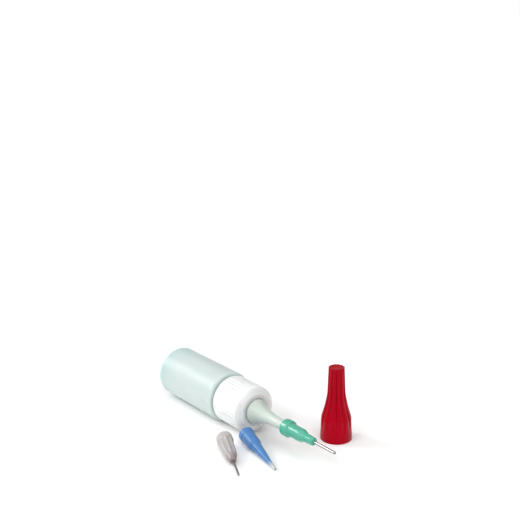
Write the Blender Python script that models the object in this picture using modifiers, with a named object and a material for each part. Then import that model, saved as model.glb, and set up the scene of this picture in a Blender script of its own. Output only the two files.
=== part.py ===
"""Fine-glue bottle kit: squeeze bottle, screw collar, nozzle, spout cover and three push-on tips.

Metres, +Z up. The bottle lies on its side with its axis along +X, from its base to its needle. The spout
cover stands on its open end at the +Y side and two spare tips lie at the -Y side. The origin is on the table,
at the middle of the group's footprint. Along the bottle, stations are distances from its base.
"""

import math

import bmesh
import bpy
from mathutils import Matrix

MM = 0.001
GAP = 0.3 * MM                      # clearance between neighbouring pieces
RIM_CHAMFER = 0.3 * MM              # on the bottle's mouth and the cover's foot
COLLECTION = "glue_applicator_bottle"

# Layout on the table
ROUND_STEPS = 36                    # sides of the bottle and the nozzle
TIP_STEPS = 24                      # sides of the small tips
NEEDLE_STEPS = 16
BASE_X = -58.75 * MM                # the bottle's base
BOTTLE_Y = -1.25 * MM               # the bottle's axis
COVER_PLACE = (31.0 * MM, 25.05 * MM)
BLUE_PLACE = (7.9 * MM, -9.2 * MM)
BLUE_HEADING = math.radians(-12.8)
PINK_PLACE = (5.1 * MM, -19.3 * MM)
PINK_HEADING = math.radians(-24.3)

# Squeeze bottle
BODY_R = 12.1 * MM
BODY_WALL = 1.0 * MM
BASE_WALL = 1.3 * MM
BODY_LENGTH = 44.0 * MM             # base to shoulder
BASE_ROUND = 1.5 * MM
BASE_PANEL = 0.7 * MM               # how far the base's middle is pushed up
BASE_PANEL_R = 8.8 * MM
SHOULDER_ROUND = 1.3 * MM
NECK_FILLET = 0.9 * MM
NECK_R = 7.75 * MM
NECK_BORE_R = 6.2 * MM
NECK_END = 59.7 * MM

# Screw thread between neck and collar
THREAD_PITCH = 3.0 * MM
NECK_THREAD_TURNS = 2.0
COLLAR_THREAD_TURNS = 1.5
THREAD_ROD = 0.5 * MM               # radius of the rounded ridge
THREAD_START = 53.0 * MM
THREAD_POINTS = 18                  # points of the ridge's helix in one turn
NECK_RIDGE_R = NECK_R + 0.15 * MM   # radius of the ridges' middle lines
COLLAR_RIDGE_R = 8.65 * MM

# Screw collar
COLLAR_BACK = 45.7 * MM
COLLAR_R = 11.2 * MM
COLLAR_BORE_R = 8.75 * MM
COLLAR_FRONT = 64.5 * MM
COLLAR_CEILING = 62.3 * MM          # end of the bore, at the back of the front plate
RIB_COUNT = 36
RIB_DEPTH = 0.35 * MM
RIB_FLOOR_R = 10.2 * MM             # the ribs lie outside this radius and between these stations
RIB_SPAN = (45.9 * MM, 62.3 * MM)

# Nozzle insert
BOSS_R = 5.75 * MM
BOSS_END = 65.4 * MM
NOZZLE_FLANGE_R = 8.3 * MM
PLUG_R = NECK_BORE_R - GAP
PLUG_WALL = 1.1 * MM
PLUG_END = 54.9 * MM

# Spout cover
COVER_HEIGHT = 34.7 * MM
COVER_FOOT_R = 7.28 * MM
COVER_SKIRT_R = 7.02 * MM
COVER_SKIRT = 10.4 * MM             # height where the taper starts
COVER_GRIP = 23.4 * MM              # height where the slim grip starts
COVER_GRIP_R = 4.15 * MM
COVER_TOP_R = 3.7 * MM
COVER_TAPER_BEND = 1.45             # how hollow the taper is; 1 would be a straight cone
FLUTE_COUNT = 12
FLUTE_DEPTH = 0.55 * MM
FLUTE_START = 5.0 * MM              # heights where a flute's pointed end begins and is full depth
FLUTE_FULL = 14.4 * MM

# Tips
GREEN_START = 85.5 * MM
GREEN_HUB = 19.0 * MM
GREEN_NEEDLE_R = 0.635 * MM
GREEN_NEEDLE_BORE_R = 0.42 * MM
GREEN_NEEDLE_START = 98.5 * MM
NEEDLE_END = 117.5 * MM
NEEDLE_CHAMFER = 0.08 * MM
PINK_HUB = 19.3 * MM
PINK_LENGTH = 30.6 * MM
PINK_NEEDLE_R = 0.455 * MM
PINK_NEEDLE_BORE_R = 0.3 * MM
PINK_NEEDLE_START = 13.0 * MM
PINK_RIB_COUNT = 8
PINK_RIB_DEPTH = 0.4 * MM
PINK_RIB_FLOOR_R = 2.8 * MM         # the ribs lie outside this radius and between these stations
PINK_RIB_SPAN = (3.7 * MM, 15.0 * MM)

# Profiles of the turned shapes, as (radius, station) in millimetres
COLLAR_OUTSIDE = [
    (8.1, 64.5), (8.45, 64.4), (10.8, 62.55), (11.1, 62.2), (11.2, 61.7), (11.2, 46.1), (10.8, 45.7),
]
SPOUT = [
    (1.2, 93.0), (1.75, 93.0), (1.9, 92.7), (2.0, 86.0), (2.15, 84.4), (2.4, 81.0), (2.55, 78.0), (2.7, 75.8),
    (3.1, 72.8), (3.65, 70.2), (4.3, 68.2), (5.0, 66.7), (5.5, 65.8),
]
NOZZLE_BORE = [(4.3, 61.4), (3.5, 65.0), (2.4, 70.0), (1.7, 75.0), (1.2, 80.0)]
COVER_INSIDE = [(6.2, 0.0), (5.9, 0.5), (5.75, 9.8), (4.6, 14.2), (3.5, 19.0), (2.75, 23.0), (2.6, 33.0)]
COVER_TOP = [(0.0, 33.3), (0.0, 34.7), (3.0, 34.7), (3.45, 34.4)]
COVER_LEVELS = [33.9, 29.0, 23.4, 21.0, 18.5, 16.0, 13.5, 12.0, 10.4, 8.5, 7.0, 5.0, 0.3]
GREEN_OUTSIDE = [
    (1.5, 19.0), (1.8, 18.6), (2.05, 13.8), (2.9, 11.2), (3.05, 4.4), (3.1, 3.9), (3.65, 3.8), (3.85, 3.5),
    (3.85, 0.3), (3.6, 0.0),
]
GREEN_SOCKET = [(2.55, 0.0), (2.35, 0.4), (2.25, 9.0), (1.6, 10.0)]
GREEN_SEAT = 11.5 * MM
BLUE_OUTSIDE = [
    (0.35, 30.6), (0.55, 30.6), (0.95, 25.2), (1.65, 19.2), (2.05, 15.0), (2.4, 11.6), (2.6, 10.6),
    (3.05, 10.0), (3.25, 4.0), (3.3, 2.8), (3.45, 2.6), (3.55, 2.3), (3.55, 0.3), (3.3, 0.0),
]
BLUE_INSIDE = [(2.55, 0.0), (2.35, 0.4), (2.2, 9.0), (1.5, 11.6), (1.1, 17.0)]
BLUE_RIMS = [(3.55, 2.3), (0.55, 30.6)]     # the two rims that a loose tip rests on
PINK_OUTSIDE = [
    (1.2, 19.3), (1.6, 18.9), (2.0, 17.6), (2.75, 15.2), (2.95, 14.2), (3.3, 6.0), (3.4, 3.8), (3.6, 3.6),
    (3.75, 3.3), (3.75, 0.3), (3.5, 0.0),
]
PINK_INSIDE = [(2.55, 0.0), (2.35, 0.4), (2.2, 9.0), (1.3, 10.5)]
PINK_SEAT = 12.0 * MM
PINK_RIMS = [(3.75, 3.3), (2.95, 14.2)]

# The bottle rests on a flat side of its many-sided round
AXIS_Z = BODY_R * math.cos(math.pi / ROUND_STEPS)


def new_collections():
    """Empty the scene and return the collections for the parts and for the cutters."""
    for obj in list(bpy.data.objects):
        bpy.data.objects.remove(obj)
    made = []
    for name in (COLLECTION, COLLECTION + "_cutters"):
        collection = bpy.data.collections.new(name)
        bpy.context.scene.collection.children.link(collection)
        made.append(collection)
    return made


def material(name, colour, roughness, metallic=0.0):
    """Return a Principled material."""
    made = bpy.data.materials.new(name)
    made.use_nodes = True
    shader = made.node_tree.nodes["Principled BSDF"]
    shader.inputs["Base Color"].default_value = (*colour, 1.0)
    shader.inputs["Roughness"].default_value = roughness
    shader.inputs["Metallic"].default_value = metallic
    return made


def mm(points):
    """Turn a profile in millimetres, as (radius, station) pairs, into metres."""
    return [(radius * MM, station * MM) for radius, station in points]


def arc(centre, radius, start, end, count=4):
    """Points of a profile's rounded corner; angles in degrees, measured from the radius direction."""
    points = []
    for index in range(count + 1):
        angle = math.radians(start + (end - start) * index / count)
        points.append((centre[0] + radius * math.cos(angle), centre[1] + radius * math.sin(angle)))
    return points


def turned(name, profile, steps, collection, closed=False):
    """Turn a profile about Z with a Screw modifier; a closed profile makes a ring."""
    mesh = bpy.data.meshes.new(name)
    vertices = [(radius, 0.0, height) for radius, height in profile]
    edges = [(index, index + 1) for index in range(len(vertices) - 1)]
    if closed:
        edges.append((len(vertices) - 1, 0))
    mesh.from_pydata(vertices, edges, [])
    mesh.transform(Matrix.Rotation(math.pi / steps, 4, "Z"))
    obj = bpy.data.objects.new(name, mesh)
    collection.objects.link(obj)
    screw = obj.modifiers.new("turn", "SCREW")
    screw.steps = steps
    screw.render_steps = steps
    screw.use_merge_vertices = True
    screw.merge_threshold = 0.00001
    screw.use_normal_calculate = False
    return obj


def apply_modifiers(obj):
    """Replace an object's mesh with its evaluated mesh, and drop the modifiers."""
    depsgraph = bpy.context.evaluated_depsgraph_get()
    mesh = bpy.data.meshes.new_from_object(obj.evaluated_get(depsgraph))
    obj.modifiers.clear()
    obj.data = mesh
    return obj


def shade(obj, surface):
    """Give an object its material and smooth shading with crisp edges."""
    obj.data.materials.clear()
    obj.data.materials.append(surface)
    obj.data.shade_smooth()
    obj.data.set_sharp_from_angle(angle=math.radians(35.0))


def groove(obj, count, depth, strength):
    """Press lengthwise grooves into a turned mesh; strength(radius, height) is 0 where it stays round."""
    for vertex in obj.data.vertices:
        radius = math.hypot(vertex.co.x, vertex.co.y)
        amount = strength(radius, vertex.co.z)
        if amount <= 0.0:
            continue
        angle = math.atan2(vertex.co.y, vertex.co.x)
        wave = 0.5 - 0.5 * math.cos(count * angle)
        factor = 1.0 - depth * amount * wave / radius
        vertex.co.x *= factor
        vertex.co.y *= factor


def along_bottle(station=0.0):
    """Frame whose +Z runs along the bottle's axis, with its origin at a station."""
    turn = Matrix.Rotation(math.pi / 2, 4, "Y")
    return Matrix.Translation((BASE_X + station, BOTTLE_Y, AXIS_Z)) @ turn


def mount_on(obj, frame, station=0.0):
    """Place an object by a frame, so that the object's origin is at the given station."""
    obj.data.transform(Matrix.Translation((0.0, 0.0, -station)))
    obj.matrix_world = frame @ Matrix.Translation((0.0, 0.0, station))


def helix_ridge(name, radius, start, total_turns, collection):
    """Rounded screw ridge, as a closed mesh about Z."""
    count = int(total_turns * THREAD_POINTS) + 1
    curve = bpy.data.curves.new(name, "CURVE")
    curve.dimensions = "3D"
    curve.bevel_depth = THREAD_ROD
    curve.bevel_resolution = 2
    curve.use_fill_caps = True
    spline = curve.splines.new("POLY")
    spline.points.add(count - 1)
    for index, point in enumerate(spline.points):
        turns = index / THREAD_POINTS
        angle = 2.0 * math.pi * turns
        height = start + THREAD_PITCH * turns
        point.co = (radius * math.cos(angle), radius * math.sin(angle), height, 1.0)
    guide = bpy.data.objects.new(name + "_curve", curve)
    collection.objects.link(guide)
    depsgraph = bpy.context.evaluated_depsgraph_get()
    mesh = bpy.data.meshes.new_from_object(guide.evaluated_get(depsgraph))
    bpy.data.objects.remove(guide)
    weld = bmesh.new()
    weld.from_mesh(mesh)
    bmesh.ops.remove_doubles(weld, verts=weld.verts, dist=0.000001)
    bmesh.ops.recalc_face_normals(weld, faces=weld.faces)
    weld.to_mesh(mesh)
    weld.free()
    obj = bpy.data.objects.new(name, mesh)
    obj.hide_render = True
    obj.display_type = "WIRE"
    collection.objects.link(obj)
    return obj


def join_ridge(obj, ridge):
    """Union a screw ridge into a turned piece."""
    union = obj.modifiers.new("thread", "BOOLEAN")
    union.operation = "UNION"
    union.solver = "EXACT"
    union.object = ridge
    bpy.context.view_layer.update()
    apply_modifiers(obj)
    bpy.data.objects.remove(ridge)


def bottle_profile():
    """Bottle wall: up the inside from the base's centre, over the mouth and down the outside."""
    inner_r = BODY_R - BODY_WALL
    panel_top = BASE_WALL + BASE_PANEL
    inside = [(0.0, panel_top), (BASE_PANEL_R - 1.2 * MM, panel_top), (BASE_PANEL_R, BASE_WALL)]
    inside += [(inner_r - 0.7 * MM, BASE_WALL), (inner_r, BASE_WALL + 0.7 * MM)]
    inside += [(inner_r, BODY_LENGTH - 2.4 * MM), (inner_r - 1.1 * MM, BODY_LENGTH - 1.1 * MM)]
    inside += [(NECK_BORE_R, BODY_LENGTH - 0.5 * MM)]
    mouth = [(NECK_BORE_R, NECK_END), (NECK_R - RIM_CHAMFER, NECK_END), (NECK_R, NECK_END - RIM_CHAMFER)]
    fillet = arc((NECK_R + NECK_FILLET, BODY_LENGTH + 1.2 * MM), NECK_FILLET, 180.0, 260.0, 2)
    corner = (BODY_R - SHOULDER_ROUND, BODY_LENGTH - SHOULDER_ROUND)
    shoulder = arc(corner, SHOULDER_ROUND, 80.0, 0.0, 3)
    foot = arc((BODY_R - BASE_ROUND, BASE_ROUND), BASE_ROUND, 0.0, -90.0, 3)
    panel = [(BASE_PANEL_R, 0.0), (BASE_PANEL_R - 1.2 * MM, BASE_PANEL), (0.0, BASE_PANEL)]
    return inside + mouth + fillet + shoulder + foot + panel


def make_bottle(parts, cutters, surface):
    """Hollow squeeze bottle with a threaded neck and a pushed-up base panel."""
    bottle = turned("bottle_body", bottle_profile(), ROUND_STEPS, parts)
    apply_modifiers(bottle)
    ridge = helix_ridge("neck_thread", NECK_RIDGE_R, THREAD_START, NECK_THREAD_TURNS, cutters)
    join_ridge(bottle, ridge)
    shade(bottle, surface)
    mount_on(bottle, along_bottle())


def collar_ribs(radius, station):
    """Share of the rib depth at a point of the collar."""
    return 1.0 if radius > RIB_FLOOR_R and RIB_SPAN[0] < station < RIB_SPAN[1] else 0.0


def make_collar(parts, cutters, surface):
    """Ribbed collar: threaded bore at the back and a sloping front with a hole for the nozzle's boss."""
    hole = BOSS_R + GAP
    profile = [(hole, COLLAR_FRONT)] + mm(COLLAR_OUTSIDE) + [(COLLAR_BORE_R, COLLAR_BACK)]
    profile += [(COLLAR_BORE_R, COLLAR_CEILING), (hole, COLLAR_CEILING)]
    collar = turned("screw_collar", profile, RIB_COUNT * 3, parts, closed=True)
    apply_modifiers(collar)
    groove(collar, RIB_COUNT, RIB_DEPTH, collar_ribs)
    thread_start = THREAD_START + THREAD_PITCH / 2
    ridge = helix_ridge("collar_thread", COLLAR_RIDGE_R, thread_start, COLLAR_THREAD_TURNS, cutters)
    join_ridge(collar, ridge)
    shade(collar, surface)
    mount_on(collar, along_bottle(), COLLAR_BACK)


def make_nozzle(parts, surface):
    """Nozzle: plug in the bottle's mouth, clamped flange, boss, cone and male taper for the tips."""
    flange_back = NECK_END + GAP
    flange_front = COLLAR_CEILING - GAP
    outside = mm(SPOUT) + [(BOSS_R, BOSS_END), (BOSS_R, flange_front)]
    flange = [(NOZZLE_FLANGE_R, flange_front), (NOZZLE_FLANGE_R, flange_back), (PLUG_R, flange_back)]
    plug = [(PLUG_R, PLUG_END + 0.4 * MM), (PLUG_R - 0.3 * MM, PLUG_END), (PLUG_R - PLUG_WALL, PLUG_END)]
    profile = outside + flange + plug + mm(NOZZLE_BORE)
    nozzle = turned("nozzle_insert", profile, ROUND_STEPS, parts, closed=True)
    apply_modifiers(nozzle)
    shade(nozzle, surface)
    mount_on(nozzle, along_bottle(), PLUG_END)


def cover_radius(height):
    """Outer radius of the spout cover at a height: skirt, hollow taper and slim grip."""
    if height <= COVER_SKIRT:
        return COVER_FOOT_R + (COVER_SKIRT_R - COVER_FOOT_R) * height / COVER_SKIRT
    if height <= COVER_GRIP:
        left = (COVER_GRIP - height) / (COVER_GRIP - COVER_SKIRT)
        return COVER_GRIP_R + (COVER_SKIRT_R - COVER_GRIP_R) * left ** COVER_TAPER_BEND
    above = (height - COVER_GRIP) / (COVER_HEIGHT - COVER_GRIP)
    return COVER_GRIP_R + (COVER_TOP_R - COVER_GRIP_R) * above


def cover_flutes(radius, height):
    """Strength of the cover's flutes: none inside or near the foot, full from the taper up."""
    outside = radius > cover_radius(height) - 0.2 * MM
    if not outside or height > COVER_HEIGHT - 0.2 * MM:
        return 0.0
    return min(max((height - FLUTE_START) / (FLUTE_FULL - FLUTE_START), 0.0), 1.0)


def make_cover(parts, surface):
    """Spout cover, standing on its open foot: hollow, with flutes that fade out in the skirt."""
    outside = [(cover_radius(level * MM), level * MM) for level in COVER_LEVELS]
    foot = [(COVER_FOOT_R - RIM_CHAMFER, 0.0)]
    profile = mm(COVER_INSIDE) + mm(COVER_TOP) + outside + foot
    cover = turned("spout_cover", profile, FLUTE_COUNT * 4, parts, closed=True)
    apply_modifiers(cover)
    groove(cover, FLUTE_COUNT, FLUTE_DEPTH, cover_flutes)
    shade(cover, surface)
    cover.matrix_world = Matrix.Translation((*COVER_PLACE, 0.0))


def needle(name, span, section, parts, surface, frame):
    """Steel tube, open at both ends; span is its start and end, section its outer and bore radius."""
    start, end = span
    radius, bore = section
    rim = [(bore, end), (radius - NEEDLE_CHAMFER, end), (radius, end - NEEDLE_CHAMFER)]
    tube = turned(name, rim + [(radius, start), (bore, start)], NEEDLE_STEPS, parts, closed=True)
    apply_modifiers(tube)
    shade(tube, surface)
    mount_on(tube, frame, start)


def make_green_tip(parts, surfaces):
    """Fitted tip: hub with a flange and a stepped nose, and the wide needle."""
    nose_bore = GREEN_NEEDLE_R + GAP
    profile = [(nose_bore, GREEN_HUB)] + mm(GREEN_OUTSIDE) + mm(GREEN_SOCKET) + [(nose_bore, GREEN_SEAT)]
    hub = turned("green_tip_hub", profile, TIP_STEPS, parts, closed=True)
    apply_modifiers(hub)
    shade(hub, surfaces["green"])
    mount_on(hub, along_bottle(GREEN_START))
    span = (GREEN_NEEDLE_START, NEEDLE_END)
    section = (GREEN_NEEDLE_R, GREEN_NEEDLE_BORE_R)
    needle("green_tip_needle", span, section, parts, surfaces["steel"], along_bottle())


def lying_frame(place, heading, rear, front):
    """Frame of a loose tip that touches the table at two rims; each rim is a (radius, station) pair."""
    droop = math.atan2(rear[0] - front[0], front[1] - rear[1])
    height = rear[0] * math.cos(droop) + rear[1] * math.sin(droop)
    turn = Matrix.Rotation(heading, 4, "Z") @ Matrix.Rotation(math.pi / 2 + droop, 4, "Y")
    return Matrix.Translation((*place, height)) @ turn


def rest_on_table(objects):
    """Lower or raise a group so that its lowest point is on the table."""
    bpy.context.view_layer.update()
    lowest = min((obj.matrix_world @ v.co).z for obj in objects for v in obj.data.vertices)
    for obj in objects:
        obj.matrix_world = Matrix.Translation((0.0, 0.0, -lowest)) @ obj.matrix_world


def make_blue_tip(parts, surface):
    """Spare one-piece tip: flange, socket body, step and a long taper, hollow from end to end."""
    tip = turned("blue_taper_tip", mm(BLUE_OUTSIDE) + mm(BLUE_INSIDE), TIP_STEPS, parts, closed=True)
    apply_modifiers(tip)
    shade(tip, surface)
    tip.matrix_world = lying_frame(BLUE_PLACE, BLUE_HEADING, *mm(BLUE_RIMS))
    rest_on_table([tip])


def pink_ribs(radius, station):
    """Full depth on the outside of the pink hub, between its flange and its nose."""
    return float(radius > PINK_RIB_FLOOR_R and PINK_RIB_SPAN[0] < station < PINK_RIB_SPAN[1])


def make_pink_tip(parts, surfaces):
    """Spare fine tip: ribbed hub with a flange and a tapered nose, and the thin needle."""
    nose_bore = PINK_NEEDLE_R + GAP
    profile = [(nose_bore, PINK_HUB)] + mm(PINK_OUTSIDE) + mm(PINK_INSIDE) + [(nose_bore, PINK_SEAT)]
    hub = turned("pink_tip_hub", profile, PINK_RIB_COUNT * 4, parts, closed=True)
    apply_modifiers(hub)
    groove(hub, PINK_RIB_COUNT, PINK_RIB_DEPTH, pink_ribs)
    shade(hub, surfaces["pink"])
    frame = lying_frame(PINK_PLACE, PINK_HEADING, *mm(PINK_RIMS))
    hub.matrix_world = frame
    span = (PINK_NEEDLE_START, PINK_LENGTH)
    section = (PINK_NEEDLE_R, PINK_NEEDLE_BORE_R)
    needle("pink_tip_needle", span, section, parts, surfaces["steel"], frame)
    rest_on_table([hub, bpy.data.objects["pink_tip_needle"]])


def main():
    """Build the kit."""
    parts, cutters = new_collections()
    surfaces = {
        "bottle": material("milky_plastic", (0.72, 0.80, 0.76), 0.35),
        "collar": material("white_plastic", (0.90, 0.90, 0.87), 0.40),
        "nozzle": material("clear_grey_plastic", (0.62, 0.70, 0.62), 0.30),
        "cover": material("red_plastic", (0.55, 0.01, 0.03), 0.30),
        "green": material("green_plastic", (0.08, 0.50, 0.30), 0.25),
        "blue": material("blue_plastic", (0.06, 0.20, 0.55), 0.35),
        "pink": material("pinkish_plastic", (0.60, 0.48, 0.45), 0.30),
        "steel": material("stainless_steel", (0.60, 0.60, 0.60), 0.25, 1.0),
    }
    make_bottle(parts, cutters, surfaces["bottle"])
    make_collar(parts, cutters, surfaces["collar"])
    make_nozzle(parts, surfaces["nozzle"])
    make_cover(parts, surfaces["cover"])
    make_green_tip(parts, surfaces)
    make_blue_tip(parts, surfaces["blue"])
    make_pink_tip(parts, surfaces)


main()
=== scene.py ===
"""Looks of the glue applicator bottle kit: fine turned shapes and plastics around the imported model."""

import math

import bpy
import bmesh
from mathutils import Matrix, Vector


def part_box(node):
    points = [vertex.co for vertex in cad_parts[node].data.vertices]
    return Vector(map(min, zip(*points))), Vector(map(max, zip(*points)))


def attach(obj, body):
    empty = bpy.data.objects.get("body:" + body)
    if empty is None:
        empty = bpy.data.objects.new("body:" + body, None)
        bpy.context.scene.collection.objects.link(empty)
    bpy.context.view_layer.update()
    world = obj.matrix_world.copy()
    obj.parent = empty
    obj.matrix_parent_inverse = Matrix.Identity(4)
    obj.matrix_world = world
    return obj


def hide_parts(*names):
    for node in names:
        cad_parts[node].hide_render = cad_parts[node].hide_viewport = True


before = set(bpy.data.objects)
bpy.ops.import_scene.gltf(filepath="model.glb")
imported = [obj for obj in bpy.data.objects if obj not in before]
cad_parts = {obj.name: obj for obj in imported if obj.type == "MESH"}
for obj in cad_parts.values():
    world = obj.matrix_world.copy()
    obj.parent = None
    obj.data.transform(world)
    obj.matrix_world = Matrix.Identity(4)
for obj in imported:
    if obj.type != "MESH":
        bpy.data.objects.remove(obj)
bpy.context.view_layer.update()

MM = 0.001

# Camera: where it stands and how it is turned
CAMERA_PLACE = Vector((312.1, -236.1, 191.4)) * MM
CAMERA_HEADING = math.radians(52.13)
CAMERA_DIP = math.radians(15.57)
CAMERA_ROLL = math.radians(-0.83)
CAMERA_LENS = 63.49

# Shapes: millimetres, with stations measured from the bottle's base or from a loose piece's own foot
ROUND = 180                       # sides of a smooth turned piece
NECK_R = 7.75
NECK_END = 59.7
THREAD_PITCH = 3.0
THREAD_RIDGE = 0.62               # height and half width of the rounded screw ridges
COLLAR_R = 11.2
COLLAR_BORE_R = 8.75
COLLAR_RIBS = 36
RIB_DEPTH = 0.32
BOSS_R = 5.75
SKIRT_TOP = 10.4                  # the cover's skirt ends and its taper starts
GRIP_FOOT = 23.4                  # its taper ends and its slim grip starts
COVER_TOP = 34.7
FLUTES = 12                       # flutes of the cover
FLUTE_DEPTH = 0.7
PINK_RIBS = 8
PINK_RIB_DEPTH = 0.5

# Plastics
SKIN_GRAIN = 900.0                # features per metre of a moulded surface's fine skin
SKIN_DEPTH = 0.02 * MM

# Studio
STUDIO_BRIGHT = 0.80
STUDIO_DARK = 0.25
DARK_SIDE = CAMERA_HEADING + 0.7  # heading of the studio's dark side: to the camera's right and behind


# ---------------------------------------------------------------- turned shapes

def rounded(corners, closed):
    """Profile points from (radius, station, fillet) corners in millimetres, with each corner filleted."""
    points = []
    count = len(corners)
    for index, (radius, station, fillet) in enumerate(corners):
        here = Vector((radius, station))
        at_end = not closed and index in (0, count - 1)
        if fillet <= 0.0 or at_end:
            points.append(here)
            continue
        before = Vector(corners[index - 1][:2]) - here
        after = Vector(corners[(index + 1) % count][:2]) - here
        half = before.angle(after) / 2.0
        if half > math.radians(89.5):
            points.append(here)
            continue
        reach = min(fillet / math.tan(half), 0.48 * before.length, 0.48 * after.length)
        true_fillet = reach * math.tan(half)
        start = here + before.normalized() * reach
        end = here + after.normalized() * reach
        centre = here + (before.normalized() + after.normalized()).normalized() * true_fillet / math.sin(half)
        turn = (start - centre).angle_signed(end - centre)
        steps = max(2, math.ceil(abs(turn) / math.radians(11.0)))
        for step in range(steps + 1):
            spoke = start - centre
            spoke.rotate(Matrix.Rotation(-turn * step / steps, 2))
            points.append(centre + spoke)
    return points


def divided(points, closed, pitch):
    """Add points so that no stretch of a profile is longer than pitch."""
    made = []
    count = len(points)
    for index in range(count if closed else count - 1):
        start, end = points[index], points[(index + 1) % count]
        parts = max(1, math.ceil((end - start).length / pitch))
        made += [start.lerp(end, part / parts) for part in range(parts)]
    if not closed:
        made.append(points[-1])
    return made


def turned(name, corners, closed=True, sides=ROUND, shape=None, pitch=4.0):
    """Turn a filleted profile about Z; shape(radius, angle, station) may change a radius, in millimetres."""
    profile = divided(rounded(corners, closed), closed, pitch)
    mesh = bmesh.new()
    rings = []
    for point in profile:
        if point.x < 1e-6:
            rings.append([mesh.verts.new((0.0, 0.0, point.y * MM))])
            continue
        ring = []
        for side in range(sides):
            angle = 2.0 * math.pi * side / sides
            radius = shape(point.x, angle, point.y) if shape else point.x
            place = (radius * math.cos(angle) * MM, radius * math.sin(angle) * MM, point.y * MM)
            ring.append(mesh.verts.new(place))
        rings.append(ring)
    pairs = list(zip(rings, rings[1:]))
    if closed:
        pairs.append((rings[-1], rings[0]))
    for low, high in pairs:
        for side in range(sides):
            after = (side + 1) % sides
            if len(low) == 1:
                mesh.faces.new((low[0], high[after], high[side]))
            elif len(high) == 1:
                mesh.faces.new((low[side], low[after], high[0]))
            else:
                mesh.faces.new((low[side], low[after], high[after], high[side]))
    bmesh.ops.recalc_face_normals(mesh, faces=mesh.faces)
    data = bpy.data.meshes.new(name)
    mesh.to_mesh(data)
    mesh.free()
    data.shade_smooth()
    data.set_sharp_from_angle(angle=math.radians(40.0))
    piece = bpy.data.objects.new(name, data)
    bpy.context.scene.collection.objects.link(piece)
    return piece


def smooth_step(value, start, end):
    """0 before start, 1 after end, and a smooth rise between them."""
    share = min(max((value - start) / (end - start), 0.0), 1.0)
    return share * share * (3.0 - 2.0 * share)


def thread_height(angle, station, start, turns):
    """Height, from 0 to 1, of a rounded screw ridge that starts at a station and fades in and out."""
    best = 0.0
    for turn in range(math.ceil(turns) + 1):
        along = angle / (2.0 * math.pi) + turn
        if along > turns:
            continue
        offset = (station - start - THREAD_PITCH * along) / THREAD_RIDGE
        if abs(offset) < 1.0:
            fade = smooth_step(along, 0.0, 0.12) * (1.0 - smooth_step(along, turns - 0.12, turns))
            best = max(best, fade * (1.0 - offset * offset) ** 0.5)
    return best


# ---------------------------------------------------------------- places

def bottle_frame():
    """Frame whose +Z runs along the bottle's axis from its base, with stations measured from the base."""
    low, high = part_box("bottle_body")
    place = Vector((low.x, (low.y + high.y) / 2.0, (low.z + high.z) / 2.0))
    return Matrix.Translation(place) @ Matrix.Rotation(math.pi / 2.0, 4, "Y")


def standing_frame(node):
    """Upright frame at the middle of a standing node's foot."""
    low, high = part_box(node)
    return Matrix.Translation(((low.x + high.x) / 2.0, (low.y + high.y) / 2.0, low.z))


def lying_frame(node):
    """Frame of a loose tip: +Z from its flange to its point, found from the node's own vertices."""
    spots = [vertex.co.copy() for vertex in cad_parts[node].data.vertices]
    middle = sum(spots, Vector()) / len(spots)
    axis = Vector((1.0, 0.0, 0.0))
    for _ in range(60):                      # each pass turns the axis closer to the tip's long direction
        pulled = sum(((spot - middle) * (spot - middle).dot(axis) for spot in spots), Vector())
        axis = pulled.normalized()
    rear = min((spot - middle).dot(axis) for spot in spots)
    across = Vector((0.0, 0.0, 1.0)).cross(axis).normalized()
    turn = Matrix((across.cross(axis), across, axis)).transposed().to_4x4()
    return Matrix.Translation(middle + axis * rear) @ turn


def place(piece, where, body, slot, *nodes):
    """Put a piece in its frame, on its body, in place of its CAD nodes."""
    piece.matrix_world = where
    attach(piece, body)
    if nodes:
        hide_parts(*nodes)
    return piece


# ---------------------------------------------------------------- materials

class Surface:
    """A Principled material with object coordinates, and short calls for its noise, bump and ramps."""

    def __init__(self, name, **sockets):
        self.material = bpy.data.materials.new(name)
        self.material.use_nodes = True
        self.tree = self.material.node_tree
        self.shader = self.tree.nodes["Principled BSDF"]
        for socket, value in sockets.items():
            self.shader.inputs[socket.replace("_", " ")].default_value = value
        self.coordinates = self.tree.nodes.new("ShaderNodeTexCoord").outputs["Object"]

    def node(self, kind, **values):
        """Add a node and set its sockets."""
        made = self.tree.nodes.new(kind)
        for socket, value in values.items():
            made.inputs[socket.replace("_", " ")].default_value = value
        return made

    def link(self, source, target):
        self.tree.links.new(source, target)

    def noise(self, scale, detail=2.0, stretch=(1.0, 1.0, 1.0)):
        """Noise of a size given in features per metre, stretched along the piece's own axes."""
        mapping = self.node("ShaderNodeMapping", Scale=stretch)
        self.link(self.coordinates, mapping.inputs["Vector"])
        texture = self.node("ShaderNodeTexNoise", Scale=scale, Detail=detail)
        self.link(mapping.outputs["Vector"], texture.inputs["Vector"])
        return texture.outputs["Fac"]

    def ramp(self, factor, stops):
        """Colour ramp from (position, colour) stops."""
        ramp = self.tree.nodes.new("ShaderNodeValToRGB")
        points = ramp.color_ramp.elements
        while len(points) < len(stops):
            points.new(0.5)
        for point, (position, colour) in zip(points, stops):
            point.position = position
            point.color = (*colour, 1.0)
        self.link(factor, ramp.inputs["Fac"])
        return ramp.outputs["Color"]

    def spread(self, factor, low, high):
        """Stretch a 0 to 1 factor to a range of values."""
        stretch = self.node("ShaderNodeMapRange", From_Min=0.3, From_Max=0.7, To_Min=low, To_Max=high)
        self.link(factor, stretch.inputs["Value"])
        return stretch.outputs["Result"]

    def bump(self, height, strength, depth):
        """Raise the surface by a height factor; depth is the full height in metres."""
        bump = self.node("ShaderNodeBump", Strength=strength, Distance=depth)
        self.link(height, bump.inputs["Height"])
        self.link(bump.outputs["Normal"], self.shader.inputs["Normal"])

    def height(self):
        """The station along the piece's axis, in metres."""
        parts = self.tree.nodes.new("ShaderNodeSeparateXYZ")
        self.link(self.coordinates, parts.inputs["Vector"])
        return parts.outputs["Z"]


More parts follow.
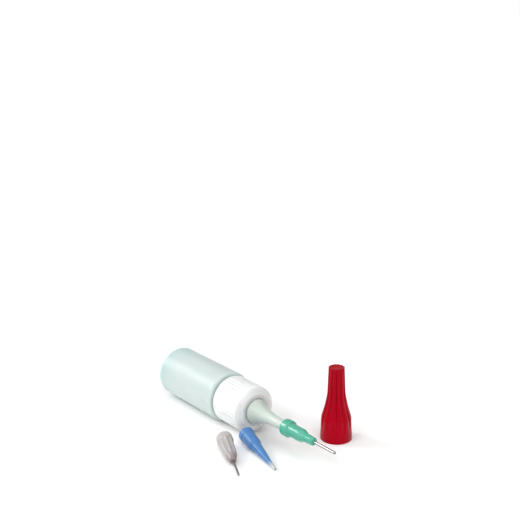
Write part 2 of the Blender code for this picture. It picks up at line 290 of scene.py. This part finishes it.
def mottled(name, light, dark, rough, **sockets):
    """Moulded plastic: slight flow mottling in colour and roughness, and a fine skin."""
    surface = Surface(name, **sockets)
    clouds = surface.noise(130.0, 3.0, (1.0, 1.0, 0.35))
    colour = surface.ramp(clouds, [(0.3, dark), (0.7, light)])
    surface.link(colour, surface.shader.inputs["Base Color"])
    surface.link(surface.spread(clouds, rough - 0.04, rough + 0.04), surface.shader.inputs["Roughness"])
    surface.bump(surface.noise(SKIN_GRAIN, 3.0), 0.35, SKIN_DEPTH)
    return surface


def run_colour_and_shade(surface, start, end, colour):
    """Let a piece's colour run into another one between two stations in millimetres; used both for a real
    change of colour and for painted shade.
    """
    tinted = surface.shader.inputs["Base Color"].links[0].from_socket
    share = surface.node("ShaderNodeMapRange", From_Min=start * MM, From_Max=end * MM)
    share.interpolation_type = "SMOOTHSTEP"
    surface.link(surface.height(), share.inputs["Value"])
    blend = surface.tree.nodes.new("ShaderNodeMix")
    blend.data_type = "RGBA"
    blend.inputs["B"].default_value = (*colour, 1.0)
    surface.link(share.outputs["Result"], blend.inputs["Factor"])
    surface.link(tinted, blend.inputs["A"])
    surface.link(blend.outputs["Result"], surface.shader.inputs["Base Color"])


def milky_plastic():
    """The bottle's plastic, with painted shade that makes it darker and more cyan towards its base."""
    surface = mottled(
        "milky_squeeze_plastic", (0.525, 0.610, 0.588), (0.497, 0.590, 0.563), 0.40,
        IOR=1.5, Specular_IOR_Level=0.35, Subsurface_Weight=1.0, Subsurface_Scale=0.004,
        Subsurface_Radius=(1.0, 1.0, 0.95),
    )
    # painted shade: the colour runs darker and more cyan towards the base
    run_colour_and_shade(surface, 15.0, -3.0, (0.41, 0.555, 0.55))
    return surface.material


def white_plastic():
    surface = mottled(
        "white_collar_plastic", (0.77, 0.78, 0.76), (0.74, 0.75, 0.73), 0.34,
        IOR=1.5, Subsurface_Weight=1.0, Subsurface_Scale=0.008, Subsurface_Radius=(1.0, 0.95, 0.9),
    )
    return surface.material


def nozzle_plastic():
    surface = mottled(
        "clear_grey_nozzle_plastic", (0.52, 0.58, 0.53), (0.48, 0.54, 0.49), 0.22,
        IOR=1.5, Subsurface_Weight=0.8, Subsurface_Scale=0.003, Subsurface_Radius=(0.95, 1.0, 0.95),
    )
    return surface.material


def green_plastic():
    surface = mottled(
        "green_hub_plastic", (0.085, 0.38, 0.27), (0.07, 0.35, 0.25), 0.16,
        IOR=1.5, Subsurface_Weight=0.4, Subsurface_Scale=0.001, Subsurface_Radius=(0.4, 1.0, 0.8),
    )
    return surface.material


def red_plastic():
    surface = mottled(
        "red_cover_plastic", (0.36, 0.001, 0.010), (0.32, 0.001, 0.008), 0.28,
        IOR=1.4, Specular_IOR_Level=0.3, Specular_Tint=(1.0, 0.15, 0.25, 1.0),
    )
    return surface.material


def blue_plastic():
    """The tapered tip's plastic, running out to a clear grey at its point."""
    surface = mottled(
        "blue_tip_plastic", (0.070, 0.200, 0.440), (0.058, 0.177, 0.395), 0.34,
        IOR=1.5, Specular_IOR_Level=0.35, Subsurface_Weight=0.4, Subsurface_Scale=0.001,
        Subsurface_Radius=(0.4, 0.7, 1.0),
    )
    run_colour_and_shade(surface, 24.0, 29.0, (0.44, 0.47, 0.46))
    return surface.material


def pink_plastic():
    """The fine tip's clear plastic, with painted shade that darkens it towards its nose, standing for the
    nose's shading and the needle seen through it.
    """
    surface = mottled(
        "pinkish_clear_plastic", (0.58, 0.55, 0.545), (0.51, 0.475, 0.47), 0.22,
        IOR=1.5, Transmission_Weight=0.3,
    )
    # painted shade: the colour runs darker towards the nose
    run_colour_and_shade(surface, 13.5, 18.5, (0.34, 0.28, 0.285))
    return surface.material


def steel():
    """Drawn stainless tube: fine lines along it."""
    surface = Surface("stainless_tube", Metallic=1.0, Specular_Tint=(0.05, 0.05, 0.05, 1.0))
    lines = surface.noise(2600.0, 2.0, (1.0, 1.0, 0.02))
    colour = surface.ramp(lines, [(0.3, (0.40, 0.40, 0.40)), (0.7, (0.55, 0.55, 0.55))])
    surface.link(colour, surface.shader.inputs["Base Color"])
    surface.link(surface.spread(lines, 0.14, 0.26), surface.shader.inputs["Roughness"])
    surface.bump(lines, 0.3, 0.01 * MM)
    return surface.material


def floor_material():
    surface = Surface("pale_floor", Specular_IOR_Level=0.1)
    clouds = surface.noise(3.0, 2.0)
    colour = surface.ramp(clouds, [(0.3, (0.90, 0.90, 0.90)), (0.7, (0.92, 0.92, 0.92))])
    surface.link(colour, surface.shader.inputs["Base Color"])
    surface.link(surface.spread(clouds, 0.75, 0.85), surface.shader.inputs["Roughness"])
    return surface.material


# ---------------------------------------------------------------- pieces

def make_bottle(surface):
    """Squeeze bottle with soft corners, a threaded neck and a pushed-up base."""
    low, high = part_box("bottle_body")
    radius = (high.z - low.z) / 2.0 / MM
    inside = radius - 1.0
    corners = [
        (0.0, 2.0, 0.0), (7.4, 2.0, 0.8), (8.6, 1.3, 0.8), (inside, 1.3, 1.0), (inside, 42.7, 1.6),
        (6.2, 43.5, 0.9), (6.2, NECK_END, 0.25), (NECK_R, NECK_END, 0.35), (NECK_R, 44.25, 1.0),
        (radius, 43.9, 1.4), (radius, 0.0, 1.5), (8.8, 0.0, 0.4), (7.4, 0.7, 0.8), (0.0, 0.7, 0.0),
    ]

    def shape(here, angle, station):
        if here > NECK_R - 0.05 and 51.0 < station < NECK_END - 0.1:
            return here + THREAD_RIDGE * thread_height(angle, station, 53.0, 2.0)
        return here

    piece = turned("bottle_shell", corners, closed=False, shape=shape, pitch=0.8)
    piece.data.materials.append(surface)
    return place(piece, bottle_frame(), "bottle", "milky_plastic", "bottle_body")


def make_collar(surface):
    """Ribbed collar with rounded ribs, a sloping front and a threaded bore."""
    hole = BOSS_R + 0.05
    corners = [
        (hole, 64.5, 0.1), (8.4, 64.5, 0.3), (COLLAR_R, 62.2, 0.8), (COLLAR_R, 45.7, 0.35),
        (COLLAR_BORE_R, 45.7, 0.4), (COLLAR_BORE_R, 62.3, 0.3), (hole, 62.3, 0.1),
    ]

    def shape(here, angle, station):
        if here > 10.0:
            wave = abs(math.sin(COLLAR_RIBS * angle / 2.0)) ** 0.8
            fade = smooth_step(station, 45.75, 46.2) * (1.0 - smooth_step(station, 61.8, 62.6))
            return here - RIB_DEPTH * fade * (1.0 - wave)
        if abs(here - COLLAR_BORE_R) < 0.05 and 53.0 < station < 61.2:
            return here - THREAD_RIDGE * thread_height(angle, station, 54.5, 1.5)
        return here

    piece = turned("collar_shell", corners, sides=COLLAR_RIBS * 10, shape=shape, pitch=0.8)
    piece.data.materials.append(surface)
    return place(piece, bottle_frame(), "collar", "white_plastic", "screw_collar")


def make_nozzle(surface):
    """Plug, flange, boss, cone and male taper in one."""
    corners = [
        (1.2, 93.0, 0.15), (1.88, 93.0, 0.2), (2.0, 86.0, 6.0), (2.4, 81.0, 9.0), (2.65, 76.0, 14.0),
        (3.6, 70.2, 16.0), (5.0, 66.6, 5.0), (BOSS_R, 65.4, 0.4), (BOSS_R, 62.0, 0.15), (8.3, 62.0, 0.2),
        (8.3, 60.0, 0.2), (5.9, 60.0, 0.1), (5.9, 54.9, 0.5), (4.8, 54.9, 0.2), (4.3, 61.4, 6.0),
        (3.5, 65.0, 12.0), (2.4, 70.0, 14.0), (1.7, 75.0, 14.0), (1.2, 80.0, 6.0),
    ]
    piece = turned("nozzle_shell", corners, pitch=1.5)
    piece.data.materials.append(surface)
    return place(piece, bottle_frame(), "nozzle", "clear_grey_plastic", "nozzle_insert")


def cover_radius(height):
    """Outer radius of the cover at a height: skirt, hollow taper and slim grip."""
    foot_radius, skirt_radius, grip_radius, top_radius = 7.28, 7.02, 4.15, 3.7
    if height <= SKIRT_TOP:
        return foot_radius - (foot_radius - skirt_radius) * height / SKIRT_TOP
    if height <= GRIP_FOOT:
        left = (GRIP_FOOT - height) / (GRIP_FOOT - SKIRT_TOP)
        return grip_radius + (skirt_radius - grip_radius) * left ** 1.45
    return grip_radius - (grip_radius - top_radius) * (height - GRIP_FOOT) / (COVER_TOP - GRIP_FOOT)


def make_cover(surface):
    """Spout cover: convex flutes between sharp grooves that run out to points in the skirt."""
    levels = [COVER_TOP - 0.55 * step for step in range(1, 58)]
    outside = [(cover_radius(level), level, 0.0) for level in levels]
    corners = [(0.0, 34.3, 0.0), (2.4, 34.45, 1.0), (2.9, COVER_TOP, 0.3), (3.68, COVER_TOP, 0.75)] + outside
    corners += [(7.27, 2.2, 0.0), (7.28, 0.0, 0.35), (6.2, 0.0, 0.3), (5.9, 0.8, 0.3), (5.75, 9.8, 3.0)]
    corners += [(4.6, 14.2, 8.0), (3.5, 19.0, 8.0), (2.75, 23.0, 6.0), (2.6, 33.0, 0.6), (0.0, 33.3, 0.0)]
    toward_front = math.radians(17.1)

    def shape(here, angle, station):
        if here < cover_radius(station) - 0.75 or station < 3.0:
            return here
        lobe = abs(math.sin(FLUTES * (angle - toward_front) / 2.0))
        groove = (1.0 - lobe) ** 1.3
        fade = smooth_step(station, 3.2, 11.5) * (1.0 - 0.35 * smooth_step(station, 20.0, 34.0))
        return here - FLUTE_DEPTH * fade * groove

    piece = turned("cover_shell", corners, closed=False, sides=FLUTES * 24, shape=shape, pitch=1.2)
    piece.data.materials.append(surface)
    return place(piece, standing_frame("spout_cover"), "cover", "red_plastic", "spout_cover")


def make_needle(name, radius, bore, end, end_fillet, where, body, surface, node):
    """Steel tube with a ground end, from inside its hub to its end station."""
    start = 13.0
    corners = [(bore, start, 0.0), (radius, start, 0.05), (radius, end, end_fillet), (bore, end, 0.04)]
    piece = turned(name, corners, sides=64, pitch=3.0)
    piece.data.materials.append(surface)
    return place(piece, where, body, "stainless_steel", node)


def make_bond(name, station, hole, radius, where, body, slot, surface):
    """Ring of glue, in the hub's colour, where a needle leaves its hub."""
    inner, outer = radius + 0.01, hole - 0.02
    corners = [
        (inner, station - 1.2, 0.0), (outer, station - 1.2, 0.1), (outer, station - 0.12, 0.1),
        (radius + 0.22, station + 0.12, 0.12), (inner, station + 0.38, 0.05),
    ]
    piece = turned(name, corners, sides=64)
    piece.data.materials.append(surface)
    return place(piece, where, body, slot)


def make_green_tip(plastic, metal):
    """Fitted tip: flanged hub with a stepped nose, and its needle."""
    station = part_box("green_tip_hub")[0].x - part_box("bottle_body")[0].x
    where = bottle_frame() @ Matrix.Translation((0.0, 0.0, station))
    nose, hole, needle_radius = 19.0, 0.94, 0.635
    corners = [
        (hole, nose, 0.1), (1.8, nose, 0.45), (2.05, 13.6, 1.2), (2.95, 11.2, 0.7), (3.05, 4.2, 0.6),
        (3.55, 3.9, 0.35), (3.85, 3.2, 0.5), (3.85, 0.0, 0.45), (2.5, 0.0, 0.25), (2.35, 0.6, 0.3),
        (2.25, 9.0, 0.3), (1.6, 10.0, 0.3), (hole, 11.5, 0.3),
    ]
    hub = turned("green_hub_shell", corners, sides=120, pitch=1.5)
    hub.data.materials.append(plastic)
    place(hub, where, "green_tip", "green_plastic", "green_tip_hub")
    make_needle(
        "green_needle_tube", needle_radius, 0.42, 32.0, 0.06, where, "green_tip", metal, "green_tip_needle",
    )
    make_bond("green_needle_bond", nose, hole, needle_radius, where, "green_tip", "green_plastic", plastic)


def make_blue_tip(plastic):
    """Spare one-piece tapered tip."""
    corners = [
        (0.35, 30.6, 0.06), (0.55, 30.6, 0.08), (0.95, 25.2, 20.0), (1.65, 19.2, 20.0), (2.05, 15.0, 14.0),
        (2.4, 11.4, 1.2), (3.05, 10.0, 0.5), (3.25, 3.2, 0.6), (3.55, 2.6, 0.35), (3.55, 0.0, 0.4),
        (2.5, 0.0, 0.25), (2.35, 0.6, 0.3), (2.2, 9.0, 0.8), (1.5, 11.6, 2.0), (1.1, 17.0, 6.0),
    ]
    piece = turned("blue_tip_shell", corners, sides=120, pitch=1.5)
    piece.data.materials.append(plastic)
    return place(piece, lying_frame("blue_taper_tip"), "blue_tip", "blue_plastic", "blue_taper_tip")


def make_pink_tip(plastic, metal):
    """Spare fine tip: ribbed clear hub and its needle."""
    where = lying_frame("pink_tip_hub")
    nose, hole, needle_radius = 19.3, 0.755, 0.455
    corners = [
        (hole, nose, 0.1), (1.6, nose, 0.5), (2.0, 17.6, 0.8), (2.9, 14.4, 0.8), (3.3, 6.0, 4.0),
        (3.4, 3.8, 0.2), (3.75, 3.4, 0.4), (3.75, 0.0, 0.4), (2.5, 0.0, 0.25), (2.35, 0.6, 0.3),
        (2.2, 9.0, 0.3), (1.3, 10.5, 0.4), (hole, 12.0, 0.3),
    ]

    def shape(here, angle, station):
        if here <= 2.45 or not 3.5 < station < 17.0:
            return here
        wave = (0.5 - 0.5 * math.cos(PINK_RIBS * angle)) ** 0.8
        fade = smooth_step(station, 3.7, 4.4) * (1.0 - smooth_step(station, 14.2, 16.4))
        return here - PINK_RIB_DEPTH * fade * wave

    hub = turned("pink_hub_shell", corners, sides=PINK_RIBS * 20, shape=shape, pitch=0.8)
    hub.data.materials.append(plastic)
    place(hub, where, "pink_tip", "pinkish_plastic", "pink_tip_hub")
    make_needle(
        "pink_needle_tube", needle_radius, 0.3, 30.6, 0.05, where, "pink_tip", metal, "pink_tip_needle",
    )
    make_bond("pink_needle_bond", nose, hole, needle_radius, where, "pink_tip", "pinkish_plastic", plastic)


# ---------------------------------------------------------------- studio

def make_floor():
    floor_mesh = bmesh.new()
    bmesh.ops.create_grid(floor_mesh, x_segments=8, y_segments=8, size=8.0)
    data = bpy.data.meshes.new("studio_floor")
    floor_mesh.to_mesh(data)
    floor_mesh.free()
    floor = bpy.data.objects.new("studio_floor", data)
    bpy.context.scene.collection.objects.link(floor)
    data.materials.append(floor_material())
    floor.location.z = -0.02 * MM


def make_sun(name, turn, height, strength, spread):
    """Soft far light, in degrees: turned anticlockwise from the camera's right, height above the floor."""
    lamp = bpy.data.lights.new(name, "SUN")
    lamp.energy = strength
    lamp.angle = math.radians(spread)
    holder = bpy.data.objects.new(name, lamp)
    bpy.context.scene.collection.objects.link(holder)
    heading, rise = CAMERA_HEADING + math.radians(turn), math.radians(height)
    level = math.cos(rise)
    direction = Vector((level * math.cos(heading), level * math.sin(heading), math.sin(rise)))
    holder.rotation_euler = direction.to_track_quat("Z", "Y").to_euler()


def make_world():
    """White sweep near the horizon and, above it, a pale studio that is darker behind and on the right."""
    world = bpy.data.worlds.new("studio_sweep")
    bpy.context.scene.world = world
    world.use_nodes = True
    tree = world.node_tree
    direction = tree.nodes.new("ShaderNodeTexCoord").outputs["Generated"]
    parts = tree.nodes.new("ShaderNodeSeparateXYZ")
    above = tree.nodes.new("ShaderNodeMapRange")
    above.inputs["From Min"].default_value = 0.02
    above.inputs["From Max"].default_value = 0.08
    darkward = tree.nodes.new("ShaderNodeVectorMath")
    darkward.operation = "DOT_PRODUCT"
    darkward.inputs[1].default_value = (math.cos(DARK_SIDE), math.sin(DARK_SIDE), 0.0)
    studio = tree.nodes.new("ShaderNodeMapRange")
    studio.inputs["From Min"].default_value = -1.0
    studio.inputs["To Min"].default_value = STUDIO_BRIGHT
    studio.inputs["To Max"].default_value = STUDIO_DARK
    blend = tree.nodes.new("ShaderNodeMix")
    blend.data_type = "RGBA"
    blend.inputs["A"].default_value = (1.0, 1.0, 1.0, 1.0)
    tree.links.new(direction, parts.inputs["Vector"])
    tree.links.new(direction, darkward.inputs[0])
    tree.links.new(parts.outputs["Z"], above.inputs["Value"])
    tree.links.new(darkward.outputs["Value"], studio.inputs["Value"])
    tree.links.new(above.outputs["Result"], blend.inputs["Factor"])
    tree.links.new(studio.outputs["Result"], blend.inputs["B"])
    tree.links.new(blend.outputs["Result"], tree.nodes["Background"].inputs["Color"])


def make_camera():
    data = bpy.data.cameras.new("photo_camera")
    data.sensor_width = 36.0
    data.lens = CAMERA_LENS
    data.clip_start = 0.01
    camera = bpy.data.objects.new("photo_camera", data)
    bpy.context.scene.collection.objects.link(camera)
    heading = Matrix.Rotation(CAMERA_HEADING, 4, "Z")
    dip = Matrix.Rotation(math.pi / 2.0 - CAMERA_DIP, 4, "X")
    roll = Matrix.Rotation(CAMERA_ROLL, 4, "Z")
    camera.matrix_world = Matrix.Translation(CAMERA_PLACE) @ heading @ dip @ roll
    bpy.context.scene.camera = camera


def main():
    make_bottle(milky_plastic())
    make_collar(white_plastic())
    make_nozzle(nozzle_plastic())
    make_cover(red_plastic())
    metal = steel()
    make_green_tip(green_plastic(), metal)
    make_blue_tip(blue_plastic())
    make_pink_tip(pink_plastic(), metal)
    make_floor()
    make_world()
    make_sun("key_front_left", 222.0, 38.0, 0.7, 30.0)
    make_sun("rear_left", 160.0, 31.0, 1.15, 24.0)
    make_sun("front", 290.0, 45.0, 1.05, 40.0)
    make_sun("overhead", 0.0, 90.0, 0.65, 60.0)
    make_camera()
    bpy.context.scene.view_settings.view_transform = "Standard"


main()
